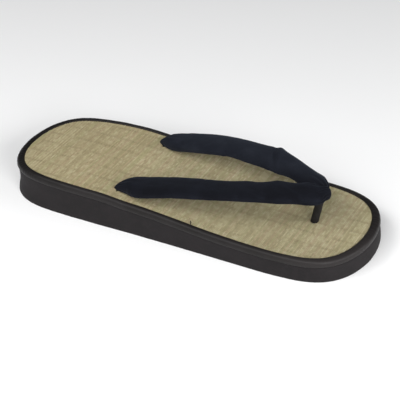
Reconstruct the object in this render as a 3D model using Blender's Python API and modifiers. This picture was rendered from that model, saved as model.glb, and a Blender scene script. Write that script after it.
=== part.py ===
"""Zori sandal: a foam wedge sole, a padded edge binding, a rush mat, and a velvet strap on a toe post.

Metres. +X points to the toe, +Y to the wearer's left, +Z up. The origin is on the floor, under the
middle of the sole. Tables are in millimetres and are turned into metres where they are read.
"""

import bmesh
import bpy
from math import cos, hypot, pi, radians, sin, sqrt
from mathutils import Vector

MM = 0.001
GAP = 0.3 * MM

# Plan outline of the top edge, the same to left and right.
LENGTH = 270 * MM
HALF_WIDTH = {"heel": 48.0 * MM, "middle": 46.4 * MM, "toe": 50.1 * MM}
END_POWER = {"heel": 7.2, "toe": 7.4}
OUTLINE_STEPS = 44
END_ZONE = 0.6

# Height of the top edge over the floor, at four stations along the sole.
TOP_HEIGHT = [
    {"station": -1.0, "height": 24.3 * MM},
    {"station": -1 / 3, "height": 24.7 * MM},
    {"station": 1 / 3, "height": 18.3 * MM},
    {"station": 1.0, "height": 16.2 * MM},
]

# Edge binding: how wide its top is, and its rounded section. "out" is measured outwards from the
# outline, "in_part" inwards as a part of the binding's width, "down" from the top edge.
BINDING_WIDTH = {"side": 3.8 * MM, "heel": 5.0 * MM, "toe": 5.2 * MM}
BINDING_DEPTH = 4.9 * MM
BINDING_SECTION = [
    {"in_part": 1.0, "out": 0.0, "down": 4.9},
    {"in_part": 1.0, "out": 0.0, "down": 0.3},
    {"in_part": 0.88, "out": 0.0, "down": -0.2},
    {"in_part": 0.40, "out": 0.0, "down": -0.3},
    {"in_part": 0.0, "out": -0.3, "down": 0.3},
    {"in_part": 0.0, "out": 0.4, "down": 1.6},
    {"in_part": 0.0, "out": 0.3, "down": 3.5},
    {"in_part": 0.0, "out": -0.4, "down": 4.9},
]

# Rush mat: it lies a little below the binding's lip.
MAT_DROP = 0.5 * MM
MAT_THICKNESS = 2.2 * MM

# Sole wall, from the floor up to the shoulder that carries the binding: height as a part of the
# wall's own height, and how far the wall stands outside the top outline.
WALL = [
    {"height": 0.00, "side": -0.8, "heel": 1.0, "toe": 0.9},
    {"height": 0.05, "side": -0.3, "heel": 1.5, "toe": 1.4},
    {"height": 0.50, "side": -0.5, "heel": -0.3, "toe": 1.0},
    {"height": 0.86, "side": -0.7, "heel": -0.5, "toe": 0.2},
    {"height": 1.00, "side": -0.8, "heel": -0.6, "toe": -0.3},
]

# One strap, on the wearer's left, from the foot of its tail in the sole to the nose at the toe:
# the middle of its section, half its width and thickness, and how far its outer edge dips.
STRAP = [
    {"x": -39.4, "y": 32.0, "z": 15.8, "half_width": 2.4, "half_thick": 1.2, "dip": 0},
    {"x": -39.4, "y": 32.0, "z": 20.0, "half_width": 2.4, "half_thick": 1.2, "dip": 0},
    {"x": -39.4, "y": 32.0, "z": 23.6, "half_width": 2.4, "half_thick": 1.2, "dip": 0},
    {"x": -39.6, "y": 32.0, "z": 25.6, "half_width": 2.6, "half_thick": 1.5, "dip": 0},
    {"x": -39.5, "y": 32.0, "z": 27.4, "half_width": 4.0, "half_thick": 1.6, "dip": 0},
    {"x": -35.3, "y": 31.6, "z": 28.4, "half_width": 6.6, "half_thick": 2.1, "dip": 0},
    {"x": -29.5, "y": 31.2, "z": 29.2, "half_width": 8.7, "half_thick": 3.8, "dip": 0},
    {"x": -18.0, "y": 31.8, "z": 31.0, "half_width": 11.6, "half_thick": 3.5, "dip": 0},
    {"x": 4.0, "y": 30.2, "z": 35.7, "half_width": 11.5, "half_thick": 3.5, "dip": 0},
    {"x": 23.0, "y": 28.0, "z": 38.4, "half_width": 10.9, "half_thick": 3.5, "dip": 0},
    {"x": 39.0, "y": 25.0, "z": 39.9, "half_width": 10.9, "half_thick": 3.5, "dip": 0},
    {"x": 53.0, "y": 21.9, "z": 41.3, "half_width": 11.1, "half_thick": 3.4, "dip": 1},
    {"x": 65.0, "y": 17.5, "z": 41.2, "half_width": 10.6, "half_thick": 3.4, "dip": 2},
    {"x": 75.0, "y": 13.0, "z": 41.1, "half_width": 10.5, "half_thick": 3.4, "dip": 5},
    {"x": 84.0, "y": 9.7, "z": 41.1, "half_width": 9.7, "half_thick": 3.5, "dip": 9},
    {"x": 91.0, "y": 7.0, "z": 40.8, "half_width": 9.0, "half_thick": 3.6, "dip": 13},
    {"x": 96.0, "y": 4.9, "z": 40.3, "half_width": 7.1, "half_thick": 3.6, "dip": 15},
    {"x": 100.0, "y": 2.9, "z": 39.9, "half_width": 4.6, "half_thick": 3.4, "dip": 13},
    {"x": 103.2, "y": 1.1, "z": 39.5, "half_width": 2.2, "half_thick": 2.6, "dip": 8},
]
STRAP_SECTION_SIDES = 16
STRAP_ROUNDNESS = 2.6
STRAP_STEPS = 2
TAIL_STATIONS = 4

# Slot for a strap tail, in the mat and the sole.
SLOT_CLEARANCE = 0.6 * MM
SLOT_DEPTH_BELOW_TAIL = 0.4 * MM

# Toe post: two points on its axis, and how far it goes into the sole and up into the nose.
POST_RADIUS = 2.7 * MM
POST_AT_MAT = Vector((93.5 * MM, 0, 16.0 * MM))
POST_AT_NOSE = Vector((98.4 * MM, 0, 37.8 * MM))
POST_IN_SOLE = 8.0 * MM
POST_IN_NOSE = 4.0 * MM
POST_SIDES = 24


def clear_scene():
    for item in list(bpy.data.objects):
        bpy.data.objects.remove(item, do_unlink=True)


def new_collection(name):
    collection = bpy.data.collections.new(name)
    bpy.context.scene.collection.children.link(collection)
    return collection


def new_material(name, colour, roughness):
    material = bpy.data.materials.new(name)
    material.use_nodes = True
    shader = material.node_tree.nodes["Principled BSDF"]
    shader.inputs["Base Color"].default_value = (*colour, 1)
    shader.inputs["Roughness"].default_value = roughness
    shader.inputs["Metallic"].default_value = 0
    return material


def smooth_step(t):
    t = min(max(t, 0), 1)
    return t * t * (3 - 2 * t)


def by_zone(row, station):
    """A value that is row["side"] along the sides and turns into the heel's or toe's at the ends."""
    end = row["heel"] if station < 0 else row["toe"]
    share = smooth_step((abs(station) - END_ZONE) / (1 - END_ZONE))
    return row["side"] + (end - row["side"]) * share


def top_height(x):
    """The top edge's height over the floor: one cubic through the stations of TOP_HEIGHT."""
    u = 2 * x / LENGTH
    height = 0
    for row in TOP_HEIGHT:
        share = 1
        for other in TOP_HEIGHT:
            if other is not row:
                share *= (u - other["station"]) / (row["station"] - other["station"])
        height += row["height"] * share
    return height


def half_width(x):
    """Half the plan width of the top outline: three widths blended, rounded off at both ends."""
    u = 2 * x / LENGTH
    width = HALF_WIDTH["heel"] * u * (u - 1) / 2
    width += HALF_WIDTH["middle"] * (1 - u * u)
    width += HALF_WIDTH["toe"] * u * (u + 1) / 2
    power = END_POWER["heel"] if u < 0 else END_POWER["toe"]
    return width * sqrt(max(0, 1 - abs(u) ** power))


def half_outline():
    """Points and outward normals of the left half of the outline, from the heel to the toe."""
    points = []
    for step in range(OUTLINE_STEPS + 1):
        x = -LENGTH / 2 * cos(pi * step / OUTLINE_STEPS)
        points.append((x, half_width(x)))
    normals = [(-1, 0)]
    for before, after in zip(points, points[2:]):
        along = (after[0] - before[0], after[1] - before[1])
        length = hypot(*along)
        normals.append((-along[1] / length, along[0] / length))
    normals.append((1, 0))
    return points, normals


def half_ring(offset_at, height_at):
    """The half outline moved outwards by offset_at(station), at the heights height_at(x)."""
    ring = []
    for (x, y), normal in zip(*half_outline()):
        offset = offset_at(2 * x / LENGTH)
        moved = x + normal[0] * offset
        ring.append((moved, max(0, y + normal[1] * offset), height_at(moved)))
    return ring


def loft(bm, rings, closed_section):
    """Faces between rings of equal length. A closed section also joins the last ring to the first."""
    rows = [[bm.verts.new(point) for point in ring] for ring in rings]
    pairs = list(zip(rows, rows[1:]))
    if closed_section:
        pairs.append((rows[-1], rows[0]))
    for lower, upper in pairs:
        for i in range(len(lower) - 1):
            bm.faces.new((lower[i], lower[i + 1], upper[i + 1], upper[i]))
    return rows


def cap_to_middle(bm, row):
    """Closes a half ring with strips that run across to the middle plane, y = 0."""
    inner = row[1:-1]
    middle = [bm.verts.new((vert.co.x, 0, vert.co.z)) for vert in inner]
    bm.faces.new((row[0], inner[0], middle[0]))
    for i in range(len(inner) - 1):
        bm.faces.new((inner[i], inner[i + 1], middle[i + 1], middle[i]))
    bm.faces.new((inner[-1], row[-1], middle[-1]))


def finish_object(name, bm, material, collection, smooth_angle=35):
    bmesh.ops.recalc_face_normals(bm, faces=bm.faces)
    mesh = bpy.data.meshes.new(name)
    bm.to_mesh(mesh)
    bm.free()
    mesh.shade_smooth()
    mesh.set_sharp_from_angle(angle=radians(smooth_angle))
    mesh.materials.append(material)
    item = bpy.data.objects.new(name, mesh)
    collection.objects.link(item)
    return item


def mirror_across(item):
    mirror = item.modifiers.new("right half", "MIRROR")
    mirror.use_axis = (False, True, False)
    mirror.use_mirror_merge = True
    mirror.merge_threshold = 0.00005


def boolean(item, other, operation, name):
    step = item.modifiers.new(name, "BOOLEAN")
    step.operation = operation
    step.solver = "EXACT"
    step.object = other


def hide_helper(item):
    item.hide_render = True
    item.display_type = "WIRE"


def make_outsole(material, collection):
    shoulder_drop = BINDING_DEPTH + GAP
    plateau_drop = MAT_DROP + MAT_THICKNESS + GAP
    rings = []
    for row in WALL:
        part = row["height"]
        rings.append(
            half_ring(
                lambda u, row=row: by_zone(row, u) * MM,
                lambda x, part=part: part * (top_height(x) - shoulder_drop),
            )
        )
    for drop in (shoulder_drop, plateau_drop):
        rings.append(
            half_ring(
                lambda u: -by_zone(BINDING_WIDTH, u) - GAP,
                lambda x, drop=drop: top_height(x) - drop,
            )
        )
    bm = bmesh.new()
    rows = loft(bm, rings, False)
    cap_to_middle(bm, rows[0])
    cap_to_middle(bm, rows[-1])
    item = finish_object("outsole", bm, material, collection)
    mirror_across(item)
    return item


def make_binding(material, collection):
    rings = []
    for row in BINDING_SECTION:
        rings.append(
            half_ring(
                lambda u, row=row: row["out"] * MM - row["in_part"] * by_zone(BINDING_WIDTH, u),
                lambda x, row=row: top_height(x) - row["down"] * MM,
            )
        )
    bm = bmesh.new()
    loft(bm, rings, True)
    item = finish_object("edge_binding", bm, material, collection, 50)
    mirror_across(item)
    return item


def make_mat(material, collection):
    rings = []
    for drop in (MAT_DROP + MAT_THICKNESS, MAT_DROP):
        rings.append(
            half_ring(
                lambda u: -by_zone(BINDING_WIDTH, u) - GAP,
                lambda x, drop=drop: top_height(x) - drop,
            )
        )
    bm = bmesh.new()
    rows = loft(bm, rings, False)
    cap_to_middle(bm, rows[0])
    cap_to_middle(bm, rows[-1])
    item = finish_object("rush_mat", bm, material, collection)
    mirror_across(item)
    return item


def curve_through(values, t):
    """A smooth (Catmull-Rom) curve through equally spaced values, at t from 0 to 1."""
    place = t * (len(values) - 1)
    i = min(int(place), len(values) - 2)
    f = place - i
    before = values[max(i - 1, 0)]
    here = values[i]
    there = values[i + 1]
    after = values[min(i + 2, len(values) - 1)]
    slope = (there - before) / 2
    next_slope = (after - here) / 2
    rise = there - here
    square = 3 * rise - 2 * slope - next_slope
    cube = slope + next_slope - 2 * rise
    return here + f * (slope + f * (square + f * cube))


def strap_stations():
    """The strap's table read at evenly spaced steps, as rows with the same named columns."""
    count = (len(STRAP) - 1) * STRAP_STEPS
    rows = []
    for step in range(count + 1):
        t = step / count
        rows.append({name: curve_through([row[name] for row in STRAP], t) for name in STRAP[0]})
    return rows


def section_point(angle):
    """A flat band's section with full, rounded edges, as parts of half width and half thickness."""
    c, s = cos(angle), sin(angle)
    scale = (abs(c) ** STRAP_ROUNDNESS + abs(s) ** STRAP_ROUNDNESS) ** (-1 / STRAP_ROUNDNESS)
    return c * scale, s * scale


def strap_mesh(bm, side):
    """One strap as a closed loft of its sections: side is 1 for the wearer's left, -1 for the right."""
    rows = strap_stations()
    centres = [Vector((row["x"], row["y"], row["z"])) * MM for row in rows]
    rings = []
    for i, row in enumerate(rows):
        along = (centres[min(i + 1, len(rows) - 1)] - centres[max(i - 1, 0)]).normalized()
        in_tail = i < TAIL_STATIONS * STRAP_STEPS
        heading = Vector((1, 0, 0)) if in_tail else Vector((along.x, along.y, 0))
        outward = Vector((-heading.y, heading.x, 0)).normalized()
        upward = along.cross(outward)
        dip = radians(row["dip"])
        across = outward * cos(dip) - upward * sin(dip)
        normal = outward * sin(dip) + upward * cos(dip)
        ring = []
        for k in range(STRAP_SECTION_SIDES):
            wide, thick = section_point(2 * pi * k / STRAP_SECTION_SIDES)
            point = centres[i] + across * wide * row["half_width"] * MM
            point += normal * thick * row["half_thick"] * MM
            ring.append(bm.verts.new((point.x, point.y * side, point.z)))
        rings.append(ring)
    for lower, upper in zip(rings, rings[1:]):
        for k in range(STRAP_SECTION_SIDES):
            after = (k + 1) % STRAP_SECTION_SIDES
            bm.faces.new((lower[k], lower[after], upper[after], upper[k]))
    bm.faces.new(rings[0])
    bm.faces.new(rings[-1])


def make_straps(material, collection, cutters):
    bm = bmesh.new()
    strap_mesh(bm, 1)
    straps = finish_object("straps", bm, material, collection, 60)
    bm = bmesh.new()
    strap_mesh(bm, -1)
    other = finish_object("right_strap", bm, material, cutters, 60)
    hide_helper(other)
    boolean(straps, other, "UNION", "join at the toe")
    return straps


def post_axis():
    return (POST_AT_NOSE - POST_AT_MAT).normalized()


def cylinder_between(name, start, end, radius, sides, material, collection):
    bm = bmesh.new()
    bmesh.ops.create_cone(
        bm,
        cap_ends=True,
        segments=sides,
        radius1=radius,
        radius2=radius,
        depth=(end - start).length,
    )
    item = finish_object(name, bm, material, collection)
    item.location = (start + end) / 2
    item.rotation_mode = "QUATERNION"
    item.rotation_quaternion = Vector((0, 0, 1)).rotation_difference(end - start)
    return item


def make_post(material, collection):
    start = POST_AT_MAT - post_axis() * POST_IN_SOLE
    end = POST_AT_NOSE + post_axis() * POST_IN_NOSE
    return cylinder_between("toe_post", start, end, POST_RADIUS, POST_SIDES, material, collection)


def make_post_cutter(material, cutters):
    start = POST_AT_MAT - post_axis() * (POST_IN_SOLE + GAP)
    end = POST_AT_NOSE + post_axis() * (POST_IN_NOSE + GAP)
    radius = POST_RADIUS + GAP
    cutter = cylinder_between("post_hole", start, end, radius, POST_SIDES, material, cutters)
    hide_helper(cutter)
    return cutter


def make_slot_cutter(side, material, cutters):
    """An upright oval bar, a little larger than the strap's tail, from below its foot to above the mat."""
    foot = STRAP[0]
    low = foot["z"] * MM - SLOT_DEPTH_BELOW_TAIL
    high = top_height(foot["x"] * MM) + MAT_THICKNESS
    bm = bmesh.new()
    bmesh.ops.create_cone(bm, cap_ends=True, segments=20, radius1=1, radius2=1, depth=1)
    size = (
        foot["half_thick"] * MM + SLOT_CLEARANCE,
        foot["half_width"] * MM + SLOT_CLEARANCE,
        high - low,
    )
    bmesh.ops.scale(bm, vec=size, verts=bm.verts)
    place = (foot["x"] * MM, side * foot["y"] * MM, (low + high) / 2)
    bmesh.ops.translate(bm, vec=place, verts=bm.verts)
    cutter = finish_object("left_slot" if side > 0 else "right_slot", bm, material, cutters)
    hide_helper(cutter)
    return cutter


def build():
    clear_scene()
    parts = new_collection("zori_sandal")
    cutters = new_collection("cutters")
    foam = new_material("black_foam", (0.035, 0.033, 0.033), 0.75)
    band = new_material("black_binding", (0.02, 0.02, 0.022), 0.6)
    rush = new_material("woven_rush", (0.40, 0.35, 0.21), 0.7)
    velvet = new_material("navy_velvet", (0.012, 0.014, 0.022), 0.9)
    cord = new_material("dark_cord", (0.02, 0.017, 0.018), 0.6)

    outsole = make_outsole(foam, parts)
    make_binding(band, parts)
    mat = make_mat(rush, parts)
    straps = make_straps(velvet, parts, cutters)
    make_post(cord, parts)

    post_hole = make_post_cutter(foam, cutters)
    slots = [make_slot_cutter(side, foam, cutters) for side in (1, -1)]
    for item in (outsole, mat, straps):
        boolean(item, post_hole, "DIFFERENCE", "post hole")
    for item in (outsole, mat):
        for slot in slots:
            boolean(item, slot, "DIFFERENCE", slot.name)


build()
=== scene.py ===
"""Looks of a zori sandal: foam wedge sole, padded edge binding, rush mat, velvet straps, toe post.

Metres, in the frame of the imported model: +X to the toe, +Y to the wearer's left, +Z up. Tables whose
names end in _MM are in millimetres. Sections follow the sandal as it is put together.
"""

import bmesh
import bpy
import numpy as np
from math import cos, pi, radians, sin
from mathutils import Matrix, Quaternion, Vector, noise


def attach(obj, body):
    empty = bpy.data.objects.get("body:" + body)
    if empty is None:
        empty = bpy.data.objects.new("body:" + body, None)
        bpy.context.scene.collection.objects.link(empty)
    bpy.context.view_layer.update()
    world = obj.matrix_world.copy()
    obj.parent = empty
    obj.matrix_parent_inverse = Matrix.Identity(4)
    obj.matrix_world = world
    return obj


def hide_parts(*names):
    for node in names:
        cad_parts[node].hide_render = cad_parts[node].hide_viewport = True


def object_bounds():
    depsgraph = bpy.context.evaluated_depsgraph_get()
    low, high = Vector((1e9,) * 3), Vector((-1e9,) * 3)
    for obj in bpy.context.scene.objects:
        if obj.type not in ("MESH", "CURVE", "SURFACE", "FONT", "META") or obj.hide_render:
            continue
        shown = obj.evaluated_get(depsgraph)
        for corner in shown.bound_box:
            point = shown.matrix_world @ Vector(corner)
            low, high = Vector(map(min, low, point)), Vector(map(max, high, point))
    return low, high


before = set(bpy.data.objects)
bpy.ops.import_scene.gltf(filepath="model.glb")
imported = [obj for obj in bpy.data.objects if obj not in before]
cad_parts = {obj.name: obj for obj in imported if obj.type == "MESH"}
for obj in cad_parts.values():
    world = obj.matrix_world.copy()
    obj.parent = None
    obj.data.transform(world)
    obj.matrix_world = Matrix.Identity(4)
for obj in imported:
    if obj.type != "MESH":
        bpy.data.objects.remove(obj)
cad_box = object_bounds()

MM = 0.001

# ---- Camera, light and floor ---------------------------------------------------------------------
# A long lens looks down on the sandal from beside its toe. A wide soft box stands on its right side,
# two low ones beyond the toe and a small one behind the heel. White paper runs out under everything.

camera_data = bpy.data.cameras.new("camera")
camera_data.sensor_width = 36
camera_data.lens = 114.3
camera = bpy.data.objects.new("camera", camera_data)
camera.location = (0.3776, -0.6374, 0.4989)
camera_aim = Vector((0.0151, -0.0154, 0.0200))
camera_roll = radians(-3.09)
camera.rotation_mode = "QUATERNION"
level = (camera_aim - camera.location).to_track_quat("-Z", "Y")
camera.rotation_quaternion = level @ Quaternion((0, 0, 1), camera_roll)
bpy.context.scene.collection.objects.link(camera)
bpy.context.scene.camera = camera
bpy.context.scene.view_settings.view_transform = "Standard"


def soft_box(name, place, width, length, watts):
    """A rectangular soft light at place, facing the middle of the sandal."""
    lamp = bpy.data.lights.new(name, "AREA")
    lamp.shape = "RECTANGLE"
    lamp.size = width
    lamp.size_y = length
    lamp.energy = watts
    item = bpy.data.objects.new(name, lamp)
    item.location = place
    item.rotation_mode = "QUATERNION"
    item.rotation_quaternion = (camera_aim - item.location).to_track_quat("-Z", "Y")
    bpy.context.scene.collection.objects.link(item)


soft_box("right_box", (-0.03, -0.93, 0.94), 1.3, 1.0, 13.5)
soft_box("toe_box", (0.95, -0.75, 0.55), 0.45, 0.45, 9)
soft_box("far_toe_box", (1.23, 0.16, 0.47), 0.8, 0.5, 8)
soft_box("heel_box", (-0.70, -0.51, 0.99), 0.6, 0.6, 5)

world = bpy.data.worlds.new("studio")
world.use_nodes = True
world.node_tree.nodes["Background"].inputs["Color"].default_value = (0.93, 0.96, 1.0, 1)
world.node_tree.nodes["Background"].inputs["Strength"].default_value = 0.09
bpy.context.scene.world = world

floor_mesh = bpy.data.meshes.new("floor")
floor_form = bmesh.new()
bmesh.ops.create_grid(floor_form, x_segments=1, y_segments=1, size=4)
floor_form.to_mesh(floor_mesh)
floor_form.free()
floor = bpy.data.objects.new("floor", floor_mesh)
floor.location.z = cad_box[0][2] - 0.0002
bpy.context.scene.collection.objects.link(floor)
paper = bpy.data.materials.new("pale_paper")
paper.use_nodes = True
paper.node_tree.nodes["Principled BSDF"].inputs["Base Color"].default_value = (0.96, 0.96, 0.96, 1)
paper.node_tree.nodes["Principled BSDF"].inputs["Roughness"].default_value = 0.9
floor_mesh.materials.append(paper)

# ---- Sole ----------------------------------------------------------------------------------------
# One block of black closed-cell foam, cut as a low wedge and moulded with a fine diamond tread. Its
# top has a shoulder that carries the binding, and pockets that take the strap tails and the post.

LENGTH = 270 * MM
HALF_WIDTH_MM = {"heel": 48.0, "middle": 46.4, "toe": 50.1}
END_POWER = {"heel": 7.2, "toe": 7.4}
END_ZONE = 0.6
# The binding was not pulled on evenly: how far each top edge stands out, sideways.
EDGE_WAVE_MM = [
    {"x": -135, "left": 0.0, "right": 0.0},
    {"x": -127, "left": 0.6, "right": 0.0},
    {"x": -112, "left": -0.4, "right": 0.0},
    {"x": -96, "left": -1.0, "right": 0.0},
    {"x": -78, "left": 0.1, "right": 0.0},
    {"x": -60, "left": 0.8, "right": -0.3},
    {"x": -45, "left": 0.3, "right": -0.7},
    {"x": -30, "left": 0.0, "right": 0.0},
    {"x": -12, "left": 0.0, "right": -0.2},
    {"x": 14, "left": 0.0, "right": 0.2},
    {"x": 33, "left": 0.0, "right": 0.7},
    {"x": 53, "left": 0.0, "right": 0.5},
    {"x": 76, "left": 0.0, "right": -0.3},
    {"x": 98, "left": 0.0, "right": -0.9},
    {"x": 118, "left": 0.0, "right": -0.1},
    {"x": 135, "left": 0.0, "right": 0.0},
]
TOP_HEIGHT_MM = {-1.0: 24.3, -1 / 3: 24.7, 1 / 3: 18.3, 1.0: 16.2}
BINDING_WIDTH_MM = {"side": 3.8, "heel": 5.0, "toe": 5.2}
BINDING_DEPTH = 4.9 * MM
MAT_DROP = 0.5 * MM
MAT_THICKNESS = 2.2 * MM
GAP = 0.3 * MM

# Wall, from the floor up to the shoulder: height as a part of the wall's own, and how far the wall
# stands outside the top outline.
WALL_MM = [
    {"height": 0.00, "side": -0.8, "heel": 1.0, "toe": 0.5},
    {"height": 0.05, "side": -0.3, "heel": 1.5, "toe": 1.0},
    {"height": 0.50, "side": -0.5, "heel": -0.3, "toe": 0.8},
    {"height": 0.86, "side": -0.7, "heel": -0.5, "toe": 0.2},
    {"height": 1.00, "side": -0.8, "heel": -0.6, "toe": -0.3},
]
TREAD_PITCH = {"x": 3.76 * MM, "y": 2.98 * MM}
TREAD_DEPTH = 0.6 * MM
TREAD_GROOVE = 0.55 * MM
TREAD_RIM = 2.0 * MM
# Rows and columns of studs on each side of the middle, enough to reach past the edge.
TREAD_ROWS = 40
TREAD_COLUMNS = 80
SOLE_POINTS = 480
WALL_RINGS = 26
OUTLINE_SAMPLES = 4001
CUTTER_SIDES = 32


def ramp(value, start, end):
    """0 at start, 1 at end, and a soft step between the two."""
    t = np.clip((value - start) / (end - start), 0, 1)
    return t * t * (3 - 2 * t)


def curve_through(values, t):
    """A smooth (Catmull-Rom) curve through equally spaced values, at the places t from 0 to 1."""
    values = np.asarray(values, float)
    place = np.asarray(t) * (len(values) - 1)
    i = np.minimum(place.astype(int), len(values) - 2)
    f = place - i
    before, here = values[np.maximum(i - 1, 0)], values[i]
    there, after = values[i + 1], values[np.minimum(i + 2, len(values) - 1)]
    slope, next_slope, rise = (there - before) / 2, (after - here) / 2, there - here
    square = 3 * rise - 2 * slope - next_slope
    cube = slope + next_slope - 2 * rise
    return here + f * (slope + f * (square + f * cube))


def by_zone(row, x):
    """A value in metres: row["side"] along the sides, turning into the heel's or toe's at the ends."""
    u = 2 * x / LENGTH
    end = np.where(u < 0, row["heel"], row["toe"])
    share = ramp(np.abs(u), END_ZONE, 1)
    return (row["side"] + (end - row["side"]) * share) * MM


def top_height(x):
    """The top edge's height over the floor: one cubic through four stations from heel to toe."""
    u = 2 * x / LENGTH
    height = 0
    for station, value in TOP_HEIGHT_MM.items():
        share = 1
        for other in TOP_HEIGHT_MM:
            if other != station:
                share = share * (u - other) / (station - other)
        height = height + value * MM * share
    return height


def half_width(x):
    """Half the plan width of the top outline: three widths blended, rounded off at both ends."""
    u = np.clip(2 * x / LENGTH, -1, 1)
    width = HALF_WIDTH_MM["heel"] * u * (u - 1) / 2
    width = width + HALF_WIDTH_MM["middle"] * (1 - u * u)
    width = width + HALF_WIDTH_MM["toe"] * u * (u + 1) / 2
    power = np.where(u < 0, END_POWER["heel"], END_POWER["toe"])
    return width * MM * np.sqrt(1 - np.abs(u) ** power)


def edge_wave(x, side):
    """How far the left or right edge stands out from its pattern: rounded waves through the table."""
    stations = [row["x"] * MM for row in EDGE_WAVE_MM]
    place = np.interp(x, stations, np.linspace(0, 1, len(stations)))
    return curve_through([row[side] for row in EDGE_WAVE_MM], place) * MM


def outline(count, wave=1.0):
    """Evenly spaced points round the top edge from the middle of the heel, with outward normals.

    wave is how much of the binding's unevenness they follow, from 0 to 1.
    """
    turn = np.linspace(0, pi, OUTLINE_SAMPLES)
    x = -LENGTH / 2 * np.cos(turn)
    # The waves die out at the middle of heel and toe.
    strength = wave * np.sqrt(np.sin(turn))
    left = np.column_stack([x, half_width(x) + edge_wave(x, "left") * strength])
    right = np.column_stack([x, -half_width(x) - edge_wave(x, "right") * strength])
    loop = np.vstack([left, right[-2::-1]])
    place = np.concatenate([[0], np.cumsum(np.hypot(*np.diff(loop, axis=0).T))])
    even = np.linspace(0, place[-1], count, endpoint=False)
    points = np.column_stack([np.interp(even, place, loop[:, k]) for k in (0, 1)])
    along = np.roll(points, -1, 0) - np.roll(points, 1, 0)
    normals = np.column_stack([-along[:, 1], along[:, 0]]) / np.hypot(*along.T)[:, None]
    return points, normals


def ring_at(offset, height_of, wave=1.0):
    """The outline moved outwards by offset(x), in metres, at the heights height_of(x)."""
    points, normals = outline(SOLE_POINTS, wave)
    moved = points + normals * (offset(points[:, 0]) * np.ones(SOLE_POINTS))[:, None]
    return np.column_stack([moved, height_of(moved[:, 0]) * np.ones(SOLE_POINTS)])


def new_piece(name, points, faces, smooth_angle=40):
    """A mesh object from points and faces, with its faces turned outwards and smooth where it is round."""
    mesh = bpy.data.meshes.new(name)
    mesh.from_pydata([tuple(p) for p in points], [], [tuple(f) for f in faces])
    form = bmesh.new()
    form.from_mesh(mesh)
    bmesh.ops.recalc_face_normals(form, faces=form.faces)
    form.to_mesh(mesh)
    form.free()
    mesh.shade_smooth()
    mesh.set_sharp_from_angle(angle=radians(smooth_angle))
    item = bpy.data.objects.new(name, mesh)
    bpy.context.scene.collection.objects.link(item)
    return item


def loft_faces(rings, sides, closed):
    """Quads between rings of equal length. A closed loft also joins its last ring to its first."""
    faces = []
    for r in range(rings if closed else rings - 1):
        low, high = r * sides, (r + 1) % rings * sides
        for k in range(sides):
            after = (k + 1) % sides
            faces.append((low + k, low + after, high + after, high + k))
    return faces


def tube_faces(rings, sides):
    """The faces of an open loft, and one flat face to close it at each end."""
    ends = [tuple(range(sides)), tuple(range((rings - 1) * sides, rings * sides))]
    return loft_faces(rings, sides, False) + ends


def cap_across(start, sides):
    """Strips that close a ring by joining its left half to its right half."""
    faces = [(start, start + 1, start + sides - 1)]
    for k in range(1, sides // 2 - 1):
        faces.append((start + k, start + k + 1, start + sides - k - 1, start + sides - k))
    half = start + sides // 2
    faces.append((half - 1, half, half + 1))
    return faces


def cut_away(item, cutter):
    """Takes the cutter's form out of the item's mesh for good, and removes the cutter."""
    step = item.modifiers.new("cut", "BOOLEAN")
    step.operation = "DIFFERENCE"
    step.solver = "EXACT"
    step.object = cutter
    bpy.context.view_layer.update()
    graph = bpy.context.evaluated_depsgraph_get()
    cut = bpy.data.meshes.new_from_object(item.evaluated_get(graph))
    item.modifiers.remove(step)
    item.data = cut
    bpy.data.objects.remove(cutter)


def upright_bar(place, half_x, half_y, bottom, top, lean=0.0):
    """An oval bar for cutting a slot or a hole. It leans towards the toe by lean for each metre up."""
    turn = np.linspace(0, 2 * pi, CUTTER_SIDES, endpoint=False)
    oval = np.column_stack([half_x * np.cos(turn), half_y * np.sin(turn)])
    rings = []
    for z in (bottom, top):
        rings.append(np.column_stack([oval + place + (lean * z, 0), np.full(CUTTER_SIDES, z)]))
    return new_piece("cutter", np.vstack(rings), tube_faces(2, CUTTER_SIDES))


# The straps' tails stand in oval pockets, and the post in a leaning round one.
TAIL_FOOT = Vector((-39.4, 32.0, 15.8)) * MM
TAIL_HALF = {"x": 1.2 * MM, "y": 2.4 * MM}
SLOT_CLEARANCE = 0.2 * MM
SLOT_BELOW_TAIL = 0.4 * MM
POST_RADIUS = 2.7 * MM
POST_AT_MAT = Vector((93.3, 0.5, 16.0)) * MM
POST_AT_NOSE = Vector((98.2, 0.5, 37.8)) * MM
POST_IN_SOLE = 8.0 * MM
POST_LEAN = (POST_AT_NOSE.x - POST_AT_MAT.x) / (POST_AT_NOSE.z - POST_AT_MAT.z)
CUTTER_TOP = TAIL_FOOT.z + 20 * MM


def cut_pockets(item):
    """Cuts the two slots and the post's hole, from the bottom of the pockets to well above the mat."""
    half_x = TAIL_HALF["x"] + SLOT_CLEARANCE
    half_y = TAIL_HALF["y"] + SLOT_CLEARANCE
    for side in (1, -1):
        place = (TAIL_FOOT.x, TAIL_FOOT.y * side)
        cut_away(item, upright_bar(place, half_x, half_y, TAIL_FOOT.z - SLOT_BELOW_TAIL, CUTTER_TOP))
    at_floor = (POST_AT_MAT.x - POST_AT_MAT.z * POST_LEAN, POST_AT_MAT.y)
    radius = POST_RADIUS + SLOT_CLEARANCE / 2
    bottom = POST_AT_MAT.z - POST_IN_SOLE - GAP
    cut_away(item, upright_bar(at_floor, radius, radius, bottom, CUTTER_TOP, POST_LEAN))


def ripple(x, y, z, size, seed=0.0):
    """Smooth noise from about -1 to 1 at a point, with lumps of the given size."""
    return noise.noise(Vector((x / size + seed, y / size - seed, z / size + 2 * seed)))


def wall_row(column, part):
    """One column of the wall's table, read at a part of the way from the floor to the shoulder."""
    return float(curve_through([row[column] for row in WALL_MM], part))


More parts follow.
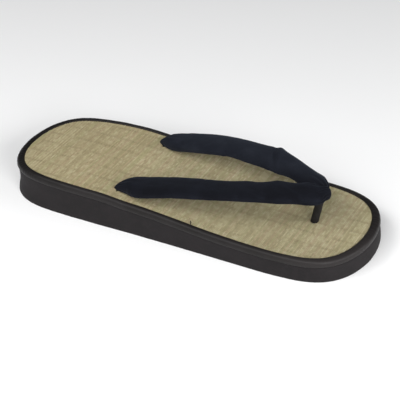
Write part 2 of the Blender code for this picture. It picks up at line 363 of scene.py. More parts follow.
def wall_ring(part):
    """The wall's line at a part of the way up."""
    zones = {zone: wall_row(zone, part) for zone in ("side", "heel", "toe")}
    share = max(0, wall_row("height", part))
    height_of = lambda x: share * (top_height(x) - BINDING_DEPTH - GAP)
    return ring_at(lambda x: by_zone(zones, x), height_of, ramp(share, 0, 1))


def inner_ring(drop):
    """The line just inside the binding, at a drop below the top edge."""
    return ring_at(lambda x: -by_zone(BINDING_WIDTH_MM, x) - GAP, lambda x: top_height(x) - drop)


# The tread lies in a shallow recess inside a plain rim.
recess_ring = ring_at(lambda x: by_zone(WALL_MM[0], x) - TREAD_RIM, lambda x: 0 * x, 0)
wall_rings = [wall_ring(part) for part in np.linspace(0, 1, WALL_RINGS)]

# The knife leaves the wall a little uneven above its foot, in long waves and in short ones.
KNIFE_WAVE = {"long": 0.16 * MM, "short": 0.05 * MM}
_, sole_normals = outline(SOLE_POINTS)
for ring in wall_rings[1:]:
    for k, (x, y, z) in enumerate(ring):
        push = KNIFE_WAVE["long"] * ripple(x, y, z, 14 * MM)
        push += KNIFE_WAVE["short"] * ripple(x, y, z, 4 * MM, 3.1)
        ring[k, :2] += sole_normals[k] * push

sole_rings = [recess_ring + (0, 0, TREAD_DEPTH), recess_ring, *wall_rings]
sole_rings += [inner_ring(BINDING_DEPTH + GAP), inner_ring(MAT_DROP + MAT_THICKNESS + GAP)]
sole_faces = loft_faces(len(sole_rings), SOLE_POINTS, False)
sole_faces += cap_across(0, SOLE_POINTS)
sole_faces += cap_across((len(sole_rings) - 1) * SOLE_POINTS, SOLE_POINTS)
sole = new_piece("sole", np.vstack(sole_rings), sole_faces, 30)
cut_pockets(sole)

# Tread: low diamonds in staggered rows, each a cut-off pyramid that stands on the sole's underside.
# Its levels: the root, just inside the foam, the shoulder, and the worn top over the floor.
STUD_LEVELS = [
    {"size": 1.00, "height": TREAD_DEPTH + 0.05 * MM},
    {"size": 0.97, "height": 0.25 * MM},
    {"size": 0.80, "height": 0.04 * MM},
]
stud_half = np.array([TREAD_PITCH["x"], TREAD_PITCH["y"]]) * (1 - TREAD_GROOVE / TREAD_PITCH["x"]) / 2
diamond = np.array([(1, 0), (0, 1), (-1, 0), (0, -1)])
stud = np.vstack([
    np.column_stack([diamond * stud_half * level["size"], np.full(4, level["height"])])
    for level in STUD_LEVELS
])
stud_faces = [(0, 1, 2, 3), (8, 11, 10, 9)]
for low in (0, 4):
    for k in range(4):
        after = (k + 1) % 4
        stud_faces.append((low + k, low + 4 + k, low + 4 + after, low + after))

# A stud is left out where it would stand beyond the left or right edge of the recess.
edges = {}
for side in (1, -1):
    half = recess_ring[recess_ring[:, 1] * side >= 0]
    edges[side] = half[np.argsort(half[:, 0])]
tread_points, tread_faces = [], []
for row in range(-TREAD_ROWS, TREAD_ROWS + 1):
    for column in range(-TREAD_COLUMNS, TREAD_COLUMNS + 1):
        x, y = column * TREAD_PITCH["x"] / 2, row * TREAD_PITCH["y"] / 2
        edge = edges[1 if y > 0 else -1]
        room = np.interp(x, edge[:, 0], abs(edge[:, 1]), left=-1, right=-1)
        if (row + column) % 2 or abs(y) > room:
            continue
        first = len(tread_points) * len(stud)
        tread_points.append(stud + (x, y, 0))
        tread_faces += [tuple(first + i for i in face) for face in stud_faces]
tread = new_piece("sole_tread", np.vstack(tread_points), tread_faces, 20)


class Value:
    """A shader socket that takes part in sums: each operator adds one Math node to its material."""

    def __init__(self, maker, socket):
        self.maker = maker
        self.socket = socket

    def sum(self, kind, *others, **settings):
        """The result of one operation of the Math node on this value and the others."""
        return self.maker.add("ShaderNodeMath", {"operation": kind, **settings}, [self, *others])

    def __add__(self, other):
        return self.sum("ADD", other)

    def __sub__(self, other):
        return self.sum("SUBTRACT", other)

    def __rsub__(self, other):
        return self.maker.add("ShaderNodeMath", {"operation": "SUBTRACT"}, [other, self])

    def __mul__(self, other):
        return self.sum("MULTIPLY", other)

    __radd__ = __add__
    __rmul__ = __mul__

    def clamp(self):
        """The same value, held between 0 and 1."""
        return self.sum("ADD", 0, use_clamp=True)

    def between(self, low, high):
        """0 at low, 1 at high, and a soft step from one to the other."""
        settings = {"interpolation_type": "SMOOTHSTEP"}
        return self.maker.add("ShaderNodeMapRange", settings, [self, low, high])


class Finish:
    """One material in the making."""

    def __init__(self, name):
        self.material = bpy.data.materials.new(name)
        self.material.use_nodes = True
        self.tree = self.material.node_tree
        self.shader = self.tree.nodes["Principled BSDF"]

    def add(self, kind, settings, values, output=0):
        """A node of the given type: its settings first, then its sockets, by place or by name."""
        node = self.tree.nodes.new(kind)
        for name, setting in settings.items():
            setattr(node, name, setting)
        pairs = values.items() if isinstance(values, dict) else enumerate(values)
        for key, value in pairs:
            if isinstance(value, Value):
                self.tree.links.new(value.socket, node.inputs[key])
            elif value is not None:
                node.inputs[key].default_value = value
        return Value(self, node.outputs[output])

    def place(self, scale=(1, 1, 1)):
        """Where a point of the piece is, stretched by scale."""
        point = self.add("ShaderNodeTexCoord", {}, [], "Object")
        return self.add("ShaderNodeMapping", {}, {"Vector": point, "Scale": scale})

    def axis(self, vector, name):
        """One coordinate of a vector, by its name: X, Y or Z."""
        return self.add("ShaderNodeSeparateXYZ", {}, [vector], name)

    def noise(self, place, scale, detail=2.0, roughness=0.5):
        """Soft cloudy grain, with scale lumps to the metre."""
        values = {"Vector": place, "Scale": scale, "Detail": detail, "Roughness": roughness}
        return self.add("ShaderNodeTexNoise", {}, values)

    def mix(self, share, one, other, blend="MIX"):
        """A colour that is one where share is 0, and the other, or their blend, where it is 1."""
        # The Mix node's colours are its inputs 6 and 7 and its output 2.
        values = {"Factor": share, 6: one, 7: other}
        return self.add("ShaderNodeMix", {"data_type": "RGBA", "blend_type": blend}, values, 2)

    def bump(self, height, distance, strength=1.0, below=None):
        """Fine relief of the given distance, laid over the relief below it."""
        values = {"Strength": strength, "Distance": distance, "Height": height, "Normal": below}
        return self.add("ShaderNodeBump", {}, values)

    def set(self, **values):
        """The shader's own sockets, by name with _ for a space."""
        for key, value in values.items():
            socket = self.shader.inputs[key.replace("_", " ")]
            if isinstance(value, Value):
                self.tree.links.new(value.socket, socket)
            else:
                socket.default_value = value

    def cover(self, *items):
        """Puts this material on the items."""
        for item in items:
            item.data.materials.clear()
            item.data.materials.append(self.material)


foam = Finish("foam")
point = foam.place()
cells = foam.noise(point, 2600, 2)
patches = foam.noise(point, 45, 3)
mottle = foam.noise(point, 320, 3)
tone = foam.mix(patches.between(0.35, 0.65), (0.0050, 0.0036, 0.0042, 1), (0.0074, 0.0054, 0.0062, 1))
speck = mottle.between(0.42, 0.66) * 0.7
foam.set(Base_Color=foam.mix(speck, tone, (0.0120, 0.0090, 0.0100, 1)))
foam.set(Roughness=0.62 + mottle * 0.25, Specular_IOR_Level=0.32)
rough_skin = foam.bump(mottle, 0.10 * MM, 0.6)
foam.set(Normal=foam.bump(cells, 0.05 * MM, 0.5, rough_skin))
foam.cover(sole, tread)

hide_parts("outsole")
for item in (sole, tread):
    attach(item, "root")

# ---- Edge binding --------------------------------------------------------------------------------
# A padded black tape with a soft sheen. It is turned over a cord of foam, runs once round the top edge
# beside the mat's cut ends, and is glued down on the sole's shoulder. It puckers round heel and toe.

# Section, from the inner foot over the lip to the outer foot: "in" as a part of the width, inwards;
# "out" outwards from the outline; "down" from the top edge.
BINDING_SECTION_MM = [
    {"in": 1.00, "out": 0.0, "down": 4.9},
    {"in": 1.00, "out": 0.0, "down": 2.4},
    {"in": 1.00, "out": 0.0, "down": 0.7},
    {"in": 0.92, "out": 0.0, "down": 0.0},
    {"in": 0.72, "out": 0.0, "down": -0.3},
    {"in": 0.48, "out": 0.0, "down": -0.25},
    {"in": 0.26, "out": 0.0, "down": 0.05},
    {"in": 0.09, "out": 0.0, "down": 0.5},
    {"in": 0.00, "out": 0.15, "down": 1.3},
    {"in": 0.00, "out": 0.45, "down": 2.3},
    {"in": 0.00, "out": 0.45, "down": 3.4},
    {"in": 0.00, "out": 0.2, "down": 4.4},
    {"in": 0.00, "out": -0.4, "down": 4.9},
    {"in": 0.50, "out": 0.0, "down": 4.9},
]
BINDING_POINTS = 1100
BINDING_SIDES = 42
PUCKER_PITCH = 3.4 * MM
PUCKER_HEIGHT = 0.055 * MM
# The puckers are at their full height from this part of the sharpest bend on.
PUCKERS_FULL_AT = 0.625
BEND_REACH = 6
PADDING_LUMP = 0.14 * MM

binding_points, binding_normals = outline(BINDING_POINTS)
# How sharply the edge turns, from 0 along the sides to 1 round heel and toe.
turning = np.roll(binding_normals, -BEND_REACH, 0) - np.roll(binding_normals, BEND_REACH, 0)
bend = np.linalg.norm(turning, axis=1)
bend = ramp(bend, 0, PUCKERS_FULL_AT * bend.max())
section_parts = np.linspace(0, 1, BINDING_SIDES, endpoint=False)
section_columns = {}
for name in ("in", "out", "down"):
    values = [row[name] for row in BINDING_SECTION_MM]
    section_columns[name] = curve_through(values + values[:1], section_parts)
perimeter = np.linalg.norm(np.roll(binding_points, -1, 0) - binding_points, axis=1).sum()
around = np.arange(BINDING_POINTS) / BINDING_POINTS * perimeter
wander = np.array([ripple(x, y, 0, 11 * MM, 1.7) for x, y in binding_points])

binding_rings = []
for inward, outward, down in zip(*section_columns.values()):
    show = ramp(inward, 1.0, 0.85)
    offset = outward * MM - inward * by_zone(BINDING_WIDTH_MM, binding_points[:, 0])
    fold = np.sin(2 * pi * around / PUCKER_PITCH + 8 * wander + 3 * inward + 0.4 * down)
    lumps = np.array([ripple(x, y, down * MM, 7 * MM, 4.2) for x, y in binding_points])
    push = show * (PUCKER_HEIGHT * bend * fold + PADDING_LUMP * lumps)
    share = ramp(down, -0.3, 1.3)
    moved = binding_points + binding_normals * (offset + push * share)[:, None]
    height = top_height(moved[:, 0]) - down * MM + push * (1 - share)
    binding_rings.append(np.column_stack([moved, height]))
binding_faces = loft_faces(BINDING_SIDES, BINDING_POINTS, True)
binding = new_piece("edge_binding_tape", np.vstack(binding_rings), binding_faces, 60)

tape = Finish("coated_tape")
point = tape.place()
cloth = tape.noise(point, 1500, 2)
wear = tape.noise(point, 70, 4)
tone = tape.mix(wear.between(0.35, 0.75), (0.0122, 0.0106, 0.0103, 1), (0.0178, 0.0156, 0.0158, 1))
# Painted shade darkens it round the heel.
at_x = tape.axis(point, "X")
at_y = tape.axis(point, "Y")
painted_shade_at_heel = 1 - at_x.between(-125 * MM, -60 * MM)
tone = tape.mix(painted_shade_at_heel * 0.8, tone, (0.0085, 0.0074, 0.0072, 1))
# Painted light greys it at the right of the toe, where it catches more light.
painted_shading_at_right_toe = at_x.between(60 * MM, 115 * MM) * (0 - at_y).between(-30 * MM, 20 * MM)
tone = tape.mix(painted_shading_at_right_toe * 0.9, tone, (0.0222, 0.0194, 0.0192, 1))
tape.set(Base_Color=tone, Roughness=0.39 + wear * 0.14, Specular_IOR_Level=0.18)
tape.set(Normal=tape.bump(cloth, 0.05 * MM, 0.5))

# One end of the sewing thread was left sticking out over the mat.
LOOSE_RADIUS = 0.34 * MM
LOOSE_SIDES = 6
LOOSE_STATIONS = 16
LOOSE_END_MM = [
    (23.6, -44.8, 19.4),
    (23.4, -44.0, 20.5),
    (22.8, -42.7, 20.7),
    (22.3, -41.6, 20.2),
    (21.5, -40.6, 20.2),
]
loose_parts = np.linspace(0, 1, LOOSE_STATIONS)
loose_line = [curve_through(column, loose_parts) * MM for column in zip(*LOOSE_END_MM)]
loose_points = []
for x, y, z in zip(*loose_line):
    for k in range(LOOSE_SIDES):
        turn = 2 * pi * k / LOOSE_SIDES
        loose_points.append((x + LOOSE_RADIUS * cos(turn), y, z + LOOSE_RADIUS * sin(turn)))
loose_faces = tube_faces(LOOSE_STATIONS, LOOSE_SIDES)
loose_end = new_piece("loose_thread_end", loose_points, loose_faces, 60)
tape.cover(binding, loose_end)

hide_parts("edge_binding")
for item in (binding, loose_end):
    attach(item, "root")

# ---- Rush mat ------------------------------------------------------------------------------------
# A mat of woven rush: strands laid side by side across the sandal, over and under thin warp threads
# that run from heel to toe. It is glued on the sole, and its cut edge stands against the binding.

STRAND_PITCH = 1.12 * MM
STRAND_RISE = 0.26 * MM
STRAND_SPREAD = 0.20
STRAND_ROUNDNESS = 2.2
WARPS_EACH_SIDE = 3
WARP_PITCH = 12.6 * MM
WARP_DIP = 0.07 * MM
WARP_HALF_WIDTH = 2.4 * MM
CROSSING = 0.06 * MM
STRAND_THICKNESS_VARIES = 0.06 * MM
SWELL = {"small": 0.04 * MM, "large": 0.12 * MM}
STRAND_BOW = 0.12 * MM
BOW_FADE = 4 * MM
WARP_SWAY = 0.40 * MM
MAT_EDGE_POINTS = 1600
SAMPLES_PER_STRAND = 4
# Places of the mesh's rows between two warp threads, as parts of their distance.
ROWS_BETWEEN_WARPS = (0.0, 0.05, 0.10, 0.17, 0.30, 0.50, 0.70, 0.83, 0.90, 0.95)


def mat_edge(side):
    """The mat's left (1) or right (-1) edge from heel to toe: the outline less the binding."""
    points, normals = outline(MAT_EDGE_POINTS)
    inner = points - normals * (by_zone(BINDING_WIDTH_MM, points[:, 0]) + GAP)[:, None]
    half = inner[inner[:, 1] * side >= 0]
    return half[np.argsort(half[:, 0])]


def warp_sway(x, y):
    """How far a warp thread near y strays to the left at x."""
    return WARP_SWAY * ripple(x, round(y / WARP_PITCH) * WARP_PITCH, 0, 26 * MM, 7.7)


mat_left, mat_right = mat_edge(1), mat_edge(-1)
mat_back, mat_front = mat_left[0, 0], mat_left[-1, 0]
strands = int((mat_front - mat_back) / STRAND_PITCH)
strand_widths = 1 + STRAND_SPREAD * np.random.default_rng(7).uniform(-1, 1, strands)
strand_bounds = np.concatenate([[0], np.cumsum(strand_widths)]) / strand_widths.sum()
strand_bounds = mat_back + (mat_front - mat_back) * strand_bounds
strand_place = np.arange(strands * SAMPLES_PER_STRAND + 1) / SAMPLES_PER_STRAND
mat_x = np.interp(strand_place, np.arange(strands + 1), strand_bounds)
mat_rows = []
for warp in range(-WARPS_EACH_SIDE - 1, WARPS_EACH_SIDE + 1):
    mat_rows += [(warp + part) * WARP_PITCH for part in ROWS_BETWEEN_WARPS]


def mat_surface(x, y, strand):
    """Height of the mat's top: round strands, pressed down at the warps and crossing in turn there."""
    number = min(int(strand), strands - 1)
    ridge = 1 - abs(2 * (strand - number) - 1) ** STRAND_ROUNDNESS
    to_warp = (y - warp_sway(x, y)) / WARP_PITCH
    pressed = ramp(abs(to_warp - round(to_warp)) * WARP_PITCH, WARP_HALF_WIDTH, 0)
    crossing = CROSSING * cos(pi * number) * cos(pi * to_warp)
    thickness = STRAND_THICKNESS_VARIES * ripple(number * 3.7, y * 30, 0, 1.0, 2.2)
    swell = SWELL["small"] * ripple(x, y, 0, 9 * MM, 5.5) + SWELL["large"] * ripple(x, y, 0, 45 * MM, 6.1)
    rise = STRAND_RISE + thickness + crossing - WARP_DIP * pressed
    return ridge * rise - STRAND_RISE + swell


mat_points, mat_uv, mat_faces = [], [], []
for x, place in zip(mat_x, strand_place):
    left = np.interp(x, mat_left[:, 0], mat_left[:, 1])
    right = np.interp(x, mat_right[:, 0], mat_right[:, 1])
    for row in mat_rows:
        y = min(max(row, right), left)
        inside = min(1, min(left - y, y - right) / BOW_FADE)
        bowed = x + STRAND_BOW * ripple(x * 0.2, y, 0, 13 * MM, 8.8) * inside
        mat_points.append((bowed, y, top_height(x) - MAT_DROP + mat_surface(x, y, place)))
        mat_uv.append((place, (y - warp_sway(x, y)) / WARP_PITCH))
rows = len(mat_rows)
for i in range(len(mat_x) - 1):
    for j in range(rows - 1):
        a = i * rows + j
        mat_faces.append((a, a + rows, a + rows + 1, a + 1))
mat_mesh = bpy.data.meshes.new("mat")
mat_mesh.from_pydata(mat_points, [], mat_faces)
uv_layer = mat_mesh.uv_layers.new(name="weave")
loops = np.empty(len(mat_mesh.loops), np.int32)
mat_mesh.loops.foreach_get("vertex_index", loops)
uv_layer.data.foreach_set("uv", np.array(mat_uv)[loops].ravel())

# Its sides go straight down, and its underside follows the top edge without the weave.
WELD = 0.001 * MM
form = bmesh.new()
form.from_mesh(mat_mesh)
bmesh.ops.remove_doubles(form, verts=form.verts, dist=WELD)
bmesh.ops.dissolve_degenerate(form, edges=form.edges, dist=WELD)
rim = [edge for edge in form.edges if edge.is_boundary]
sides = bmesh.ops.extrude_edge_only(form, edges=rim)["geom"]
lowered = [v for v in sides if isinstance(v, bmesh.types.BMVert)]
for vert in lowered:
    vert.co.z = top_height(vert.co.x) - MAT_DROP - MAT_THICKNESS
bottom_edges = [e for e in sides if isinstance(e, bmesh.types.BMEdge) and e.is_boundary]
bmesh.ops.triangle_fill(form, edges=bottom_edges, use_beauty=True)
bmesh.ops.recalc_face_normals(form, faces=form.faces)
form.to_mesh(mat_mesh)
form.free()
mat_mesh.shade_smooth()
mat_mesh.set_sharp_from_angle(angle=radians(75))
mat = bpy.data.objects.new("rush_mat_weave", mat_mesh)
bpy.context.scene.collection.objects.link(mat)
cut_pockets(mat)

# Each warp thread lies in its dip, over one strand and under the next. It has two stations to a
# strand, at a quarter and at three quarters of its width.
THREAD_RADIUS = 0.15 * MM
THREAD_SIDES = 5
THREAD_DEPTH = 0.23 * MM
THREAD_SWING = 0.20 * MM
THREAD_FROM_EDGE = 1.2 * MM
thread_points, thread_faces = [], []
for warp in range(-WARPS_EACH_SIDE, WARPS_EACH_SIDE + 1):
    middle = warp * WARP_PITCH
    first = len(thread_points)
    for x, place in zip(mat_x[1::2], strand_place[1::2]):
        y = middle + warp_sway(x, middle)
        edge = mat_left if y > 0 else mat_right
        if abs(np.interp(x, edge[:, 0], edge[:, 1])) < abs(y) + THREAD_FROM_EDGE:
            continue
        swing = -THREAD_SWING * sin(pi * place) * cos(pi * warp)
        z = top_height(x) - MAT_DROP - THREAD_DEPTH + swing
        for k in range(THREAD_SIDES):
            turn = 2 * pi * k / THREAD_SIDES
            thread_points.append((x, y + THREAD_RADIUS * cos(turn), z + THREAD_RADIUS * sin(turn)))
    stations = (len(thread_points) - first) // THREAD_SIDES
    for face in tube_faces(stations, THREAD_SIDES):
        thread_faces.append(tuple(first + corner for corner in face))
threads = new_piece("warp_threads", thread_points, thread_faces, 60)

rush = Finish("woven_rush")
weave = rush.add("ShaderNodeUVMap", {"uv_map": "weave"}, [])
strand = rush.axis(weave, "X")
warp = rush.axis(weave, "Y")
number = strand.sum("FLOOR")
across = strand.sum("FRACT")
own = rush.add("ShaderNodeTexWhiteNoise", {"noise_dimensions": "1D"}, {"W": number}, "Value")
hue = rush.add("ShaderNodeTexWhiteNoise", {"noise_dimensions": "1D"}, {"W": number + 0.37}, "Value")
along = rush.add("ShaderNodeCombineXYZ", {}, [number * 7.31, warp * 2.6, 0])
streak = rush.noise(along, 1.0, 3)
dash = rush.noise(rush.add("ShaderNodeCombineXYZ", {}, [number * 3.17, warp * 8.0, 5]), 1.0, 2)
point = rush.place()
fibre = rush.noise(rush.place((1, 0.14, 1)), 3000, 3)
area = rush.noise(rush.place((1, 0.6, 1)), 42, 4)
breaks = rush.noise(rush.place((1, 0.3, 1)), 90, 2)
ripeness = (own * 0.3 + streak * 0.7).between(0.30, 0.70)
straw = rush.mix(ripeness, (0.320, 0.268, 0.152, 1), (0.452, 0.392, 0.236, 1))
tinted = rush.mix(hue.between(0.70, 0.95) * 0.70, straw, (0.330, 0.312, 0.160, 1))
tinted = rush.mix((1 - hue).between(0.72, 0.95) * 0.70, tinted, (0.400, 0.300, 0.190, 1))
faded = rush.mix(streak.between(0.50, 0.70) * 0.50, tinted, (0.500, 0.450, 0.300, 1))
stained = rush.mix((1 - streak).between(0.52, 0.75) * 0.45, faded, (0.250, 0.200, 0.105, 1))
dashed = rush.mix(dash.between(0.58, 0.76) * 0.50, stained, (0.200, 0.165, 0.090, 1))
soft = rush.mix(area.between(0.40, 0.70) * 0.30, dashed, (0.290, 0.245, 0.135, 1))
grain = rush.mix(fibre.between(0.45, 0.75) * 0.25, soft, (0.230, 0.190, 0.105, 1))
# Under the toes the mat kept more of its green.
to_toe = rush.axis(point, "X").between(-60 * MM, 90 * MM)
tint = rush.mix(to_toe, (1, 1, 1, 1), (0.975, 1.005, 1.03, 1))
# Painted light makes it paler under the arch.
tint = rush.mix(to_toe * (1 - to_toe) * 4, tint, (1.11, 1.14, 1.18, 1))
# Painted shade darkens it a little along the right edge at the toe.
painted_shading_at_right_toe = to_toe * (0 - rush.axis(point, "Y")).between(0, 40 * MM)
tint = rush.mix(painted_shading_at_right_toe, tint, (0.86, 0.885, 0.91, 1))
grain = rush.mix(1, grain, tint, "MULTIPLY")
# Painted shade lies in the grooves between the strands, and where they dive at a warp thread.
seam = 1 - across.between(0.0, 0.12) * (1 - across.between(0.88, 1.0))
to_warp = (warp.sum("FRACT") - 0.5).sum("ABSOLUTE")
painted_shade_at_warps = to_warp.between(0.36, 0.50) * (0.35 + breaks.between(0.40, 0.62) * 0.65)
shade = (seam * 0.38 + painted_shade_at_warps * 0.36).clamp()
rush.set(Base_Color=rush.mix(shade, grain, (0.130, 0.105, 0.055, 1)))
rush.set(Roughness=0.48 + fibre * 0.25, Specular_IOR_Level=0.35)
rush.set(Normal=rush.bump(fibre, 0.06 * MM, 0.6))
rush.cover(mat)

twine = Finish("warp_twine")
twist = twine.noise(twine.place(), 2200, 2)
tone = twine.mix(twist, (0.30, 0.255, 0.145, 1), (0.42, 0.365, 0.215, 1))
twine.set(Base_Color=tone, Roughness=0.8, Specular_IOR_Level=0.3)
twine.cover(threads)

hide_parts("rush_mat")
for item in (mat, threads):
    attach(item, "root")

# ---- Straps --------------------------------------------------------------------------------------
# Two padded bands of navy-black velvet, each a tube turned over wadding and closed by a seam on its
# underside. Each comes up out of its slot in a gathered point. At the toe the right one laps the left.

# The middle of each section from the foot of the tail to the nose, half its width and thickness, and
# how far its outer edge dips, in degrees. Both bands are written as if they lay on the left.
BAND_COLUMNS = ("x", "y", "z", "half_width", "half_thick", "dip")
LEFT_BAND_MM = [
    (-39.5, 32.0, 16.2, 1.8, 0.9, 0),
    (-39.4, 32.0, 22.6, 1.5, 0.8, 0),
    (-41.9, 32.2, 26.0, 1.9, 1.0, 0),
    (-39.3, 32.1, 27.3, 3.6, 2.3, 0),
    (-34.5, 32.1, 28.0, 6.4, 4.3, 0),
    (-29.1, 32.5, 28.6, 8.6, 4.8, 0),
    (-23.5, 32.8, 29.5, 10.2, 4.3, 0),
    (-16.0, 32.7, 31.2, 11.1, 4.1, 0),
    (4.0, 30.0, 36.3, 11.8, 3.6, 0),
    (22.6, 26.5, 39.9, 11.2, 3.2, 0),
    (38.5, 23.0, 41.5, 11.7, 3.4, 0),
    (52.5, 20.8, 42.2, 12.3, 3.5, 1),
    (64.9, 18.3, 40.8, 10.8, 3.4, 1),
    (75.0, 14.1, 41.6, 8.8, 3.4, 2),
    (83.9, 9.9, 41.4, 8.7, 3.5, 3),
    (90.9, 6.5, 41.2, 8.9, 3.6, 4),
    (95.7, 4.5, 40.2, 6.6, 3.6, 5),
    (98.7, 2.6, 39.9, 4.3, 3.4, 5),
    (102.1, 0.7, 39.5, 2.0, 2.7, 5),
]
RIGHT_BAND_MM = [
    (-39.5, 31.8, 16.2, 1.8, 0.9, 0),
    (-39.4, 31.8, 22.6, 1.5, 0.8, 0),
    (-41.0, 31.8, 25.0, 1.9, 1.0, 0),
    (-38.9, 31.9, 26.1, 3.5, 2.3, 0),
    (-34.4, 31.3, 27.4, 6.0, 3.7, 0),
    (-28.7, 30.6, 28.5, 8.6, 4.5, 0),
    (-23.5, 30.7, 29.3, 10.8, 4.3, 0),
    (-15.9, 30.9, 30.7, 11.8, 4.0, 0),
    (4.2, 29.3, 35.1, 11.0, 3.5, 0),
    (23.3, 27.7, 38.1, 10.9, 3.4, 0),
    (39.3, 24.0, 39.3, 10.4, 3.3, 0),
    (53.3, 21.9, 41.5, 11.1, 3.2, 1),
    (65.1, 17.8, 41.5, 10.8, 3.2, 2),
    (75.0, 13.7, 41.4, 10.6, 3.4, 5),
    (84.3, 9.6, 40.7, 9.1, 3.5, 9),
    (91.7, 6.2, 40.3, 9.4, 3.7, 13),
    (96.9, 4.2, 40.1, 8.0, 3.9, 14),
    (100.6, 1.2, 40.5, 5.2, 4.2, 10),
    (104.3, -1.8, 40.7, 3.6, 4.1, 6),
]
BAND_STEP = 0.62 * MM
BAND_SIDES = 72
BAND_ROUNDNESS = 2.6
BAND_SAMPLES = 3001
TAIL_RADIUS = 1.0 * MM
NOSE_RADIUS = 2.8 * MM
ROUNDING_STOPS = 12
CLOSED_TO = 0.05
WADDING_LUMP = {"large": 0.22 * MM, "small": 0.09 * MM}
TAIL_GATHERS = {"count": 11, "depth": 0.40 * MM}
NOSE_PLEATS = {"count": 12, "depth": 0.60 * MM}
SEAM_DEPTH = 0.55 * MM
LEFT_FOLD = {"x": 52.0 * MM, "y": 33.0 * MM, "slant": 0.33, "depth": 2.1 * MM, "puff": 1.5 * MM}


def bell(value, middle, half):
    """1 at middle, falling smoothly to nearly 0 about two halves away."""
    return float(np.exp(-((value - middle) / half) ** 2))


def band_stops(length):
    """Distances along a band: even steps, closer together where an end is rounded off."""
    curl = 1 - np.cos(np.linspace(0.02, 1, ROUNDING_STOPS) * pi / 2)
    middle = np.linspace(TAIL_RADIUS, length - NOSE_RADIUS, int(length / BAND_STEP))[1:-1]
    return np.concatenate([curl * TAIL_RADIUS, middle, length - curl[::-1] * NOSE_RADIUS])


def band_form(name, table, side, marks):
    """A padded band lofted through the table from its pocket to the nose, with the folds marks() adds."""
    fine = np.linspace(0, 1, BAND_SAMPLES)
    path = {key: curve_through(column, fine) for key, column in zip(BAND_COLUMNS, zip(*table))}
    steps = [np.diff(path[key]) * MM for key in ("x", "y", "z")]
    gone = np.concatenate([[0], np.cumsum(np.linalg.norm(steps, axis=0))])
    length = gone[-1]
    stops = band_stops(length)
    rows = {key: np.interp(stops, gone, column) for key, column in path.items()}
    middles = np.column_stack([rows["x"], rows["y"], rows["z"]]) * MM
    along = np.gradient(middles, stops, axis=0)
    sizes = zip(rows["half_width"] * MM, rows["half_thick"] * MM, np.radians(rows["dip"]))
    points = []
    for stop, middle, ahead, (half_wide, half_thick, dip) in zip(stops, middles, along, sizes):
        # The tail stands upright, so the way outwards is taken as if it still leaned to the toe.
        outward = Vector((-ahead[1], max(ahead[0], 0.2), 0)).normalized()
        upward = Vector(ahead).normalized().cross(outward)
        across = outward * cos(dip) - upward * sin(dip)
        normal = outward * sin(dip) + upward * cos(dip)
        near_end = min(1, stop / TAIL_RADIUS, (length - stop) / NOSE_RADIUS)
        close = max(CLOSED_TO, (1 - (1 - near_end) ** 2) ** 0.5)
        for turn in np.linspace(0, 2 * pi, BAND_SIDES, endpoint=False):
            c, s = cos(turn), sin(turn)
            scale = (abs(c) ** BAND_ROUNDNESS + abs(s) ** BAND_ROUNDNESS) ** (-1 / BAND_ROUNDNESS)
            point = Vector(middle) + (across * c * half_wide + normal * s * half_thick) * scale * close
            point += (across * c + normal * s) * marks(stop, point, turn) * close
            points.append((point.x, point.y * side, point.z))
    return new_piece(name, points, tube_faces(len(stops), BAND_SIDES), 70)


def soft_folds(gone, point, turn, seed):
    """What both bands share: lumpy wadding, gathers at the tail and the nose, and the seam below."""
    lumps = WADDING_LUMP["large"] * ripple(point.x, point.y, point.z, 17 * MM, seed)
    lumps += WADDING_LUMP["small"] * ripple(point.x, point.y, point.z, 6 * MM, seed + 3)
    to_tail = ramp(gone, 35 * MM, 11 * MM) * ramp(gone, 9 * MM, 15 * MM)
    gathers = TAIL_GATHERS["depth"] * to_tail * (0.5 + 0.5 * cos(TAIL_GATHERS["count"] * turn + seed))
    to_nose = ramp(point.x, 84 * MM, 100 * MM)
    folds = cos(NOSE_PLEATS["count"] * turn + 2 * seed + point.x / (13 * MM))
    pleats = NOSE_PLEATS["depth"] * to_nose * (0.5 + 0.5 * folds) ** 3
    seam = SEAM_DEPTH * bell(turn, 1.5 * pi, 0.07)
    return lumps - gathers - pleats - seam


def inner_edge(turn):
    """1 on the band's inner edge, and 0 from the middle of its top and underside outwards."""
    return max(0, -cos(turn)) ** 2


def tucked_in(x, height, start, full, tuck, end):
    """A swell that rises from start to full, and is tucked in from tuck to end."""
    return height * ramp(x, start, full) * ramp(x, end, tuck)


def left_marks(gone, point, turn):
    """The left band: a deep soft fold slants across it where it turns in, and it puffs up either side."""
    outer = 0.5 + 0.5 * cos(turn)
    slant = point.x - LEFT_FOLD["x"] + LEFT_FOLD["slant"] * (point.y - LEFT_FOLD["y"])
    fold = LEFT_FOLD["depth"] * bell(slant, -2.0 * MM, 2.0 * MM) * (0.10 + 0.90 * max(0, sin(turn)))
    puff = LEFT_FOLD["puff"] * bell(slant, 0.4 * MM, 4.4 * MM) * outer ** 2
    swell = tucked_in(point.x, 0.7 * MM, -20 * MM, 5 * MM, 17 * MM, 19 * MM) * inner_edge(turn)
    return soft_folds(gone, point, turn, 0.6) - fold + puff + swell


def right_marks(gone, point, turn):
    """The right band: a small pleat on its inner edge, and a low bump before it laps the left one."""
    swell = tucked_in(point.x, 0.6 * MM, -25 * MM, 0, 19 * MM, 21.5 * MM)
    bump = 0.7 * MM * bell(point.x, 69 * MM, 4 * MM) - 0.8 * MM * bell(point.x, 57 * MM, 5 * MM)
    return soft_folds(gone, point, turn, 1.9) + (swell + bump) * inner_edge(turn)


left_strap = band_form("left_strap", LEFT_BAND_MM, 1, left_marks)
right_strap = band_form("right_strap", RIGHT_BAND_MM, -1, right_marks)

velvet = Finish("velvet")
point = velvet.place()
pile = velvet.noise(point, 3600, 2)
tufts = velvet.noise(point, 900, 3)
nap = velvet.noise(point, 60, 3)
brushed = velvet.noise(velvet.place((0.35, 1, 1)), 190, 3)
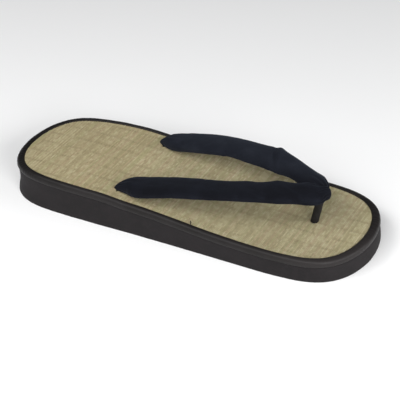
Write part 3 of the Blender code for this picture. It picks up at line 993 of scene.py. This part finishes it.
# Painted light: the left band is given a lighter copy of the velvet than the right, standing in for how
# the light falls on it.
painted_light_left_band = velvet.axis(point, "Y").between(2 * MM, 18 * MM)
dark = velvet.mix(nap.between(0.35, 0.70), (0.0027, 0.0030, 0.0053, 1), (0.0045, 0.0052, 0.0088, 1))
light = velvet.mix(nap.between(0.35, 0.70), (0.0078, 0.0094, 0.0146, 1), (0.0125, 0.0146, 0.0213, 1))
tone = velvet.mix(painted_light_left_band, dark, light)
tone = velvet.mix(brushed.between(0.50, 0.80) * 0.35, tone, (0.011, 0.013, 0.020, 1))
velvet.set(Base_Color=velvet.mix(tufts.between(0.50, 0.70) * 0.35, tone, (0.0015, 0.0017, 0.003, 1)))
velvet.set(Roughness=0.85 + pile * 0.1, Specular_IOR_Level=0.12)
velvet.set(Sheen_Weight=0.05, Sheen_Roughness=0.45, Sheen_Tint=(0.66, 0.76, 1.0, 1))
velvet.set(Normal=velvet.bump(pile, 0.10 * MM, 0.6, velvet.bump(tufts, 0.10 * MM, 0.5)))
velvet.cover(left_strap, right_strap)

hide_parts("straps")
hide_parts("straps")
for item in (left_strap, right_strap):
    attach(item, "root")

# ---- Toe post ------------------------------------------------------------------------------------
# A thin round cord of dark cloth, sewn into a tube round a core. It is knotted inside the sole, comes
# up between the toes, and holds both bands from below.

POST_STATIONS = 60
POST_SIDES = 28
POST_IN_NOSE = 0.6 * MM
# How far its cloth is pressed oval, drawn in at its seam, twisted, and spread under the nose, as parts
# of its radius.
POST_SHAPE = {"oval": 0.04, "seam": 0.16, "twist": 0.03, "spread": 0.10}
post_along = (POST_AT_NOSE - POST_AT_MAT).normalized()
post_start = POST_AT_MAT - post_along * (POST_IN_SOLE - GAP)
post_end = POST_AT_NOSE + post_along * POST_IN_NOSE
post_side = Vector((0, 1, 0))
post_front = post_side.cross(post_along)
post_points = []
for i in range(POST_STATIONS):
    part = i / (POST_STATIONS - 1)
    centre = post_start.lerp(post_end, part)
    for k in range(POST_SIDES):
        turn = 2 * pi * k / POST_SIDES
        swell = 1 - POST_SHAPE["oval"] * (1 - cos(2 * turn))
        swell -= POST_SHAPE["seam"] * bell(turn, 0.9 * pi, 0.12)
        swell -= POST_SHAPE["twist"] * cos(6 * turn + 26 * part)
        swell += POST_SHAPE["spread"] * ramp(part, 0.86, 1)
        out = post_front * cos(turn) + post_side * sin(turn)
        post_points.append(centre + out * POST_RADIUS * swell)
post = new_piece("toe_post_cord", post_points, tube_faces(POST_STATIONS, POST_SIDES), 60)

cord = Finish("post_cloth")
point = cord.place()
thread = cord.noise(point, 1700, 2)
rub = cord.noise(cord.place((1, 1, 0.4)), 260, 3)
tone = cord.mix(rub.between(0.35, 0.75), (0.005, 0.0046, 0.0048, 1), (0.015, 0.0130, 0.0140, 1))
cord.set(Base_Color=tone, Roughness=0.62 + thread * 0.15, Specular_IOR_Level=0.3)
cord.set(Normal=cord.bump(thread, 0.10 * MM, 0.6))
cord.cover(post)

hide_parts("toe_post")
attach(post, "root")
